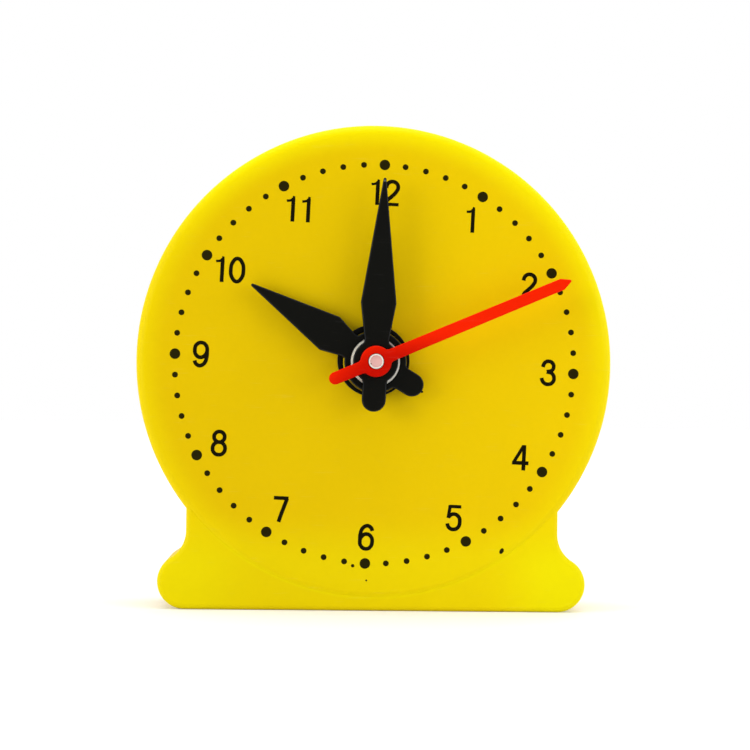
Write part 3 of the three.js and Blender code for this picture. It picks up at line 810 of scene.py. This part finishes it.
numerals = None
for hour in range(1, 13):
    angle = radians(hour_angle * hour)
    slip_across, slip_up = numeral_slips[hour]
    for order, digit in enumerate(str(hour)):
        aside = (order - 0.5) * pair_gaps[hour] if hour > 9 else 0
        centre = (
            numeral_circle * sin(angle) + slip_across + aside,
            numeral_circle * cos(angle) + slip_up,
        )
        for kind, width, points in numeral_lines[digit]:
            ribbon = stroke(kind, width, points, centre)
            numerals = fused(numerals, ribbon) if numerals else ribbon
bmesh.ops.transform(numerals, matrix=to_print, verts=numerals.verts)
piece("dial_numerals", numerals, numeral_ink, "housing", "black_plastic")

# Ring round the boss.
# A flat black plastic ring that lies on the dial round the bearing boss of the hands. Its hole is
# a little off its middle, so one side is broader.
ring_hole = 6.74 * mm
ring_radius = 7.55 * mm
ring_front = -12.8 * mm
ring_edge = 0.15 * mm
ring_steps = 128
ring_offset = (-0.3, 0.3)
black_colour = (0.0022, 0.0023, 0.0013, 1)
# Painted highlights on the black: along the rounded front edges and on a spot at the long hand's
# tip
black_edge_highlight = (0.022, 0.026, 0.031, 1)
black_speck = (0.1, 0.1, 0.095, 1)
side_facing = (0.5, 0.75)
front_facing = (0.9, 0.99)
tip_highlight_colour = (0.13, 0.15, 0.16, 1)
tip_highlight_place = Vector((1.4 * mm, -17.6 * mm, hub_height + 37.55 * mm))
tip_highlight_reach = (0.1 * mm, 0.34 * mm)


def near(tree, spot, inner, outer):
    """One within a distance of a spot, and nought beyond another."""
    apart = tree.nodes.new("ShaderNodeVectorMath")
    apart.operation = "DISTANCE"
    tree.links.new(tree.nodes.new("ShaderNodeTexCoord").outputs["Object"], apart.inputs[0])
    apart.inputs[1].default_value = spot
    return ramp(tree, apart.outputs["Value"], inner, outer, 1, 0)


def black_with_paler_edges(tree):
    """Black, with painted highlights: greyer where the front edges are rounded off, and a paler
    spot at the long hand's tip.
    """
    normal = tree.nodes.new("ShaderNodeSeparateXYZ")
    tree.links.new(tree.nodes.new("ShaderNodeTexCoord").outputs["Normal"], normal.inputs["Vector"])
    front = reckon(tree, "ABSOLUTE", normal.outputs["Y"])
    edge = times(tree, ramp(tree, front, *side_facing), ramp(tree, front, *front_facing, 1, 0))
    black = blend(tree, edge, black_colour, black_edge_highlight)
    return blend(tree, near(tree, tip_highlight_place, *tip_highlight_reach), black, tip_highlight_colour)


black_plastic = finish(
    "black_plastic", black_with_paler_edges, black_speck, specular=0.06,
    Cloud=0.5, Specks=0.7, Roughness=0.46, Grain=0.3, Scratches=0.5,
)
ring = rod(ring_radius, ring_front, dial_face, ring_offset, ring_steps)
ring = cut(ring, rod(ring_hole, ring_front - overrun, dial_face + overrun, steps=ring_steps))
soften(ring, ring_edge, fine_edge_steps, chosen=edges_at(ring_front))
piece("boss_trim_ring", ring, black_plastic, "housing", "black_plastic", "boss_ring")

# Hands.
# Three flat mouldings with softened edges, each pressed onto its own tube: a short and a long
# black leaf-shaped hand, and a thin red one that reaches the dots, with painted light where the
# dial would shine through it and painted shade near the hubs.
# Sizes in millimetres from the hub, and turns in degrees clockwise from upright
hands = {
    "hour_pointer": {
        "node": "hour_hand", "body": "hour_group", "turn": 301.3, "front": -15.4, "rear": -13.4,
        "hub": 6.45, "bore": 5.24, "neck": 4.95, "widest": 8.02, "widest_at": 11.2, "length": 30.4,
        "tip": 0.31, "tail": 4.87, "tail_length": 11.45, "blend": 0.6,
    },
    "minute_pointer": {
        "node": "minute_hand", "body": "minute_group", "turn": 2.2, "front": -17.6, "rear": -15.8,
        "hub": 4.68, "bore": 3.12, "neck": 4.9, "widest": 7.38, "widest_at": 12.2, "length": 38.2,
        "tip": 0.31, "tail": 4.95, "tail_length": 10.4, "blend": 0.5,
    },
    "second_pointer": {
        "node": "second_hand", "body": "second_group", "turn": 66.75, "front": -19.8, "rear": -18,
        "hub": 3.23, "bore": 1.66, "neck": 2.6, "widest": 2.42, "widest_at": 41.75, "length": 43.75,
        "tip": 0.3, "tail": 2.58, "tail_length": 10.4, "blend": 0.45,
    },
}
hand_edge = 0.3 * mm
bore_steps = 64
tail_steps = 12
hub_steps = 16
tip_steps = 6
nib_radius = 0.24 * mm
nib_depths = (0.6 * mm, 1.3 * mm)
nib_place = (-0.12, -11.6)
nib_steps = 10
# Painted light and shade on the red hand: lighter away from the hub, darker near it and on its
# lower side
red_colour = (0.91, 0.016, 0, 1)
red_shaded_near_hub = (0.55, 0.004, 0, 1)
red_shade_reach = (0, 17 * mm)
red_lower_side_shade = 2.5
red_speck = (0.98, 0.4, 0.3, 1)


def red_by_place(tree):
    """Painted light and shade: brighter where the dial would shine through the plastic, and darker
    over the black hands' hubs, the most so on the red hand's lower side."""
    x, _, _, up, from_hub = places_round_hub(tree)
    turn = radians(hands["second_pointer"]["turn"])
    across = times(tree, up, sin(turn))
    across = reckon(tree, "SUBTRACT", across, times(tree, x, cos(turn)))
    lit = reckon(tree, "ADD", from_hub, times(tree, across, red_lower_side_shade))
    return blend(tree, ramp(tree, lit, *red_shade_reach), red_shaded_near_hub, red_colour)


red_plastic = finish(
    "red_plastic", red_by_place, red_speck, specular=0.03,
    Cloud=0.09, Specks=0.35, Roughness=0.4, Grain=0.2, Scratches=0.2,
)


def hand_outline(hand):
    """One side of a hand that points straight up, from its tail to its tip, then mirrored."""
    size = {k: v * mm for k, v in hand.items() if isinstance(v, (int, float))}
    hub_radius, half_neck, half_tail = size["hub"], size["neck"] / 2, size["tail"] / 2
    blend_length, half_widest, widest_at = size["blend"], size["widest"] / 2, size["widest_at"]
    neck_angle = atan2(half_neck, sqrt(hub_radius**2 - half_neck**2))
    tail_angle = pi - atan2(half_tail, sqrt(hub_radius**2 - half_tail**2))
    give = blend_length / hub_radius / 2
    bm, corner = start(0, -size["tail_length"])
    corner = swing(bm, corner, 0, half_tail - size["tail_length"], -pi / 2, tail_steps)
    corner = reach(bm, corner, half_tail, hub_radius * cos(tail_angle) - blend_length)
    onto_hub = tail_angle - give
    corner = reach(bm, corner, hub_radius * sin(onto_hub), hub_radius * cos(onto_hub))
    corner = swing(bm, corner, 0, 0, -(tail_angle - neck_angle - 2 * give), hub_steps)
    neck_top = hub_radius * cos(neck_angle)
    slope = atan2(half_widest - half_neck, widest_at - neck_top)
    corner = reach(
        bm, corner, half_neck + blend_length * sin(slope), neck_top + blend_length * cos(slope)
    )
    corner = reach(bm, corner, half_widest, widest_at)
    tip, tip_centre = size["tip"], size["length"] - size["tip"]
    lean = atan2(half_widest - tip, tip_centre - widest_at)
    corner = reach(bm, corner, tip * cos(lean), tip_centre + tip * sin(lean))
    swing(bm, corner, 0, tip_centre, -(pi / 2 - lean), tip_steps)
    bmesh.ops.mirror(
        bm, geom=bm.verts[:] + bm.edges[:], matrix=Matrix(), merge_dist=weld, axis="X"
    )
    return bm


for name, hand in hands.items():
    front, rear = hand["front"] * mm, hand["rear"] * mm
    blade = slab(hand_outline(hand), front, rear)
    soften(blade, hand_edge, fine_edge_steps, sharp=steep_angle)
    bmesh.ops.translate(blade, verts=blade.verts, vec=hub)
    bore = rod(hand["bore"] * mm, front - overrun, rear + overrun, steps=bore_steps)
    blade = cut(blade, bore)
    if name == "hour_pointer":
        nib_front, nib_rear = (front + depth for depth in nib_depths)
        blade = fused(blade, rod(nib_radius, nib_front, nib_rear, nib_place, nib_steps))
    turn = Matrix.Rotation(radians(hand["turn"]), 4, "Y")
    round_hub = Matrix.Translation(hub) @ turn @ Matrix.Translation(-hub)
    bmesh.ops.transform(blade, matrix=round_hub, verts=blade.verts)
    red = name == "second_pointer"
    piece(
        name, blade, red_plastic if red else black_plastic, hand["body"],
        "red_plastic" if red else "black_plastic", hand["node"],
    )

# Wheels and tubes.
# The gear train in white plastic. Each tube is moulded in one with its wheel, and the loose
# wheels turn on steel pins between the dial and the bridge. Every wheel has a thinner web.
white_colour = (0.82, 0.79, 0.72, 1)
# Painted highlight at the left of the tubes' front ends
painted_light_white = (1, 0.96, 0.8, 1)
white_speck = (0.35, 0.32, 0.28, 1)
tube_end_reach = (dial_face - 2 * mm, dial_face - 1 * mm)
tube_left_reach = (-3.5 * mm, -2 * mm)
cad_weld = 0.002 * mm
cad_flat_angle = 1
wheel_edge = 0.08 * mm
web_depth = 0.35 * mm
web_steps = 96
# Each wheel's axis is so far over the hub, its faces lie at these depths, and its web between
# these two radii, in millimetres
wheels = {
    "hour_wheel_and_tube": {
        "node": "hour_wheel", "body": "hour_group",
        "axis": 0, "faces": (-8.8, -6.8), "web": (6.6, 14.1),
    },
    "motion_wheel_and_pinion": {
        "node": "motion_wheel", "body": "motion_gear",
        "axis": -22, "faces": (-6.2, -4.2), "web": (6.1, 13),
    },
    "minute_wheel_and_tube": {
        "node": "minute_wheel", "body": "minute_group",
        "axis": 0, "faces": (-3.6, -1.6), "web": (7.3, 15.6),
    },
    "seconds_wheel_and_pinion": {
        "node": "seconds_wheel", "body": "seconds_gear",
        "axis": 20.4, "faces": (-1, 1), "web": (4.6, 15.3),
    },
}


def white_at_tube_ends(tree):
    """White, with a painted highlight at the left of the tubes' front ends, where light would come
    in.
    """
    x, y, _, _, _ = places_round_hub(tree)
    in_front = ramp(tree, y, *tube_end_reach, 1, 0)
    at_left = ramp(tree, x, *tube_left_reach, 1, 0)
    return blend(tree, times(tree, in_front, at_left), white_colour, painted_light_white)


white_plastic = finish(
    "white_plastic", white_at_tube_ends, white_speck, specular=0.3,
    Cloud=0.06, Specks=0.25, Roughness=0.4, Grain=0.15, Scratches=0.3,
)


def copy_of(node):
    """A CAD node's solid with its flat faces whole again."""
    bm = bmesh.new()
    bm.from_mesh(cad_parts[node].data)
    bmesh.ops.remove_doubles(bm, verts=bm.verts, dist=cad_weld)
    bmesh.ops.dissolve_limit(
        bm, angle_limit=radians(cad_flat_angle), verts=bm.verts, edges=bm.edges
    )
    return bm


for name, spec in wheels.items():
    wheel = copy_of(spec["node"])
    inner, outer = (radius * mm for radius in spec["web"])
    for plane in spec["faces"]:
        shallow, deep = plane * mm - web_depth, plane * mm + web_depth
        profile = [(inner, shallow), (outer, shallow), (outer, deep), (inner, deep)]
        wheel = cut(wheel, turned(profile, web_steps, (0, spec["axis"])))
    soften(wheel, wheel_edge)
    piece(name, wheel, white_plastic, spec["body"], "white_plastic", spec["node"])

# Second shaft.
# The innermost white shaft, with its pinion. The hand is staked on its front end, which leaves a
# bright lip round a dished face that took a little of the hand's red.
shaft_end = -20 * mm
lip_inner = 1.22 * mm
dish_depth = 0.12 * mm
dish_colour = (0.76, 0.42, 0.39, 1)
stain_colour = (0.12, 0.01, 0.01, 1)
shaft_speck = (0.5, 0.3, 0.28, 1)
lip_blur = 0.1 * mm
dish_colour_reach = (shaft_end + 0.3 * mm, shaft_end + 0.4 * mm)
stain_place = Vector((-1.08 * mm, shaft_end, hub_height - 0.52 * mm))
stain_reach = (0.14 * mm, 0.26 * mm)


def white_with_pink_end(tree):
    """White, with the dished end stained pink and one dark fleck in it."""
    _, y, _, _, from_hub = places_round_hub(tree)
    in_dish = ramp(tree, from_hub, lip_inner, lip_inner + lip_blur, 1, 0)
    at_end = ramp(tree, y, *dish_colour_reach, 1, 0)
    pink = blend(tree, near(tree, stain_place, *stain_reach), dish_colour, stain_colour)
    return blend(tree, times(tree, in_dish, at_end), white_colour, pink)


shaft_plastic = finish(
    "shaft_plastic", white_with_pink_end, shaft_speck, specular=0.3,
    Cloud=0.12, Specks=0.25, Roughness=0.4, Grain=0.15, Scratches=0.3,
)
shaft = soften(copy_of("second_arbor"), wheel_edge)
shaft = cut(shaft, rod(lip_inner, shaft_end - overrun, shaft_end + dish_depth))
piece("second_shaft", shaft, shaft_plastic, "second_group", "white_plastic", "second_arbor")

# Bridge, pins, washers and screws.
# A white plastic spider lies over the wheels on four posts, held by four steel screws with
# crossed slots. It carries the rear ends of the shaft and of both steel pins. One thin steel
# washer lies before the hour wheel, and one behind the bridge.
bridge_edge = 0.25 * mm
bridge = soften(copy_of("gear_bridge"), bridge_edge)
piece("bridge", bridge, white_plastic, "housing", "white_plastic", "gear_bridge")

screw_radius = 2.4 * mm
screw_core_radius = 1 * mm
screw_seat = 4.2 * mm
screw_top = 5.8 * mm
screw_tip = -4.8 * mm
screw_edge = 0.06 * mm
screw_steps = 48
crown_shares = (0.86, 0.5)
crown_drop = 0.3 * mm
slot_width = 0.75 * mm
slot_length = 2.9 * mm
slot_depth = 0.9 * mm
slot_turns = [12, 57, 33, 78]
pin_edge = 0.15 * mm
washer_edge = 0.05 * mm
washer_steps = 96
steel_colour = (0.55, 0.56, 0.58, 1)
steel_speck = (0.3, 0.28, 0.25, 1)
steel = finish(
    "bright_steel", steel_colour, steel_speck, specular=0.5, metal=1,
    Cloud=0.25, Specks=0.3, Roughness=0.28, Grain=0.4, Scratches=0.8,
)
screw_nodes = ["bridge_screw_1", "bridge_screw_2", "bridge_screw_3", "bridge_screw_4"]
for number, node in enumerate(screw_nodes):
    low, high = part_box(node)
    middle = (low + high) / 2 - hub
    centre = (middle.x / mm, middle.z / mm)
    screw = turned(
        [
            (0, screw_tip), (screw_core_radius, screw_tip + screw_core_radius),
            (screw_core_radius, screw_seat), (screw_radius, screw_seat),
            (screw_radius, (screw_seat + screw_top) / 2),
            (screw_radius * crown_shares[0], screw_top - crown_drop),
            (screw_radius * crown_shares[1], screw_top), (0, screw_top),
        ],
        screw_steps, centre,
    )
    for quarter in (0, 90):
        slot = bmesh.new()
        bmesh.ops.create_cube(slot, size=1)
        bmesh.ops.scale(slot, verts=slot.verts, vec=(slot_length, 2 * slot_depth, slot_width))
        slot_turn = Matrix.Rotation(radians(slot_turns[number] + quarter), 3, "Y")
        bmesh.ops.rotate(slot, verts=slot.verts, matrix=slot_turn)
        slot_place = (middle.x, screw_top, middle.z + hub_height)
        bmesh.ops.translate(slot, verts=slot.verts, vec=slot_place)
        screw = cut(screw, slot)
    soften(screw, screw_edge)
    piece(f"crossed_screw_{number + 1}", screw, steel, "housing", "steel", node)

for name, node in (("seconds_pin", "seconds_axle_pin"), ("motion_pin", "motion_axle_pin")):
    piece(name, soften(copy_of(node), pin_edge), steel, "housing", "steel", node)
for name, node in (("boss_washer", "hour_washer"), ("thrust_washer", "knob_washer")):
    low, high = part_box(node)
    outer = (high.x - low.x) / 2
    inner = min(hypot(v.co.x, v.co.z - hub_height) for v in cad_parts[node].data.vertices)
    profile = [(inner, low.y), (outer, low.y), (outer, high.y), (inner, high.y)]
    washer = soften(turned(profile, washer_steps), washer_edge)
    piece(name, washer, steel, "housing", "steel", node)

# Setting knob.
# A fluted black plastic knob with a skirt, pushed onto the flat of the second shaft behind the
# bridge. Turning it runs the whole train.
knob_edge = 0.2 * mm
knob_colour = (0.014, 0.014, 0.013, 1)
knob_speck = (0.12, 0.12, 0.115, 1)
knob_plastic = finish(
    "knob_plastic", knob_colour, knob_speck, specular=0.5,
    Cloud=0.4, Specks=0.5, Roughness=0.38, Grain=0.3, Scratches=0.6,
)
knob = soften(copy_of("knob"), knob_edge)
piece("setting_knob", knob, knob_plastic, "second_group", "black_plastic", "knob")
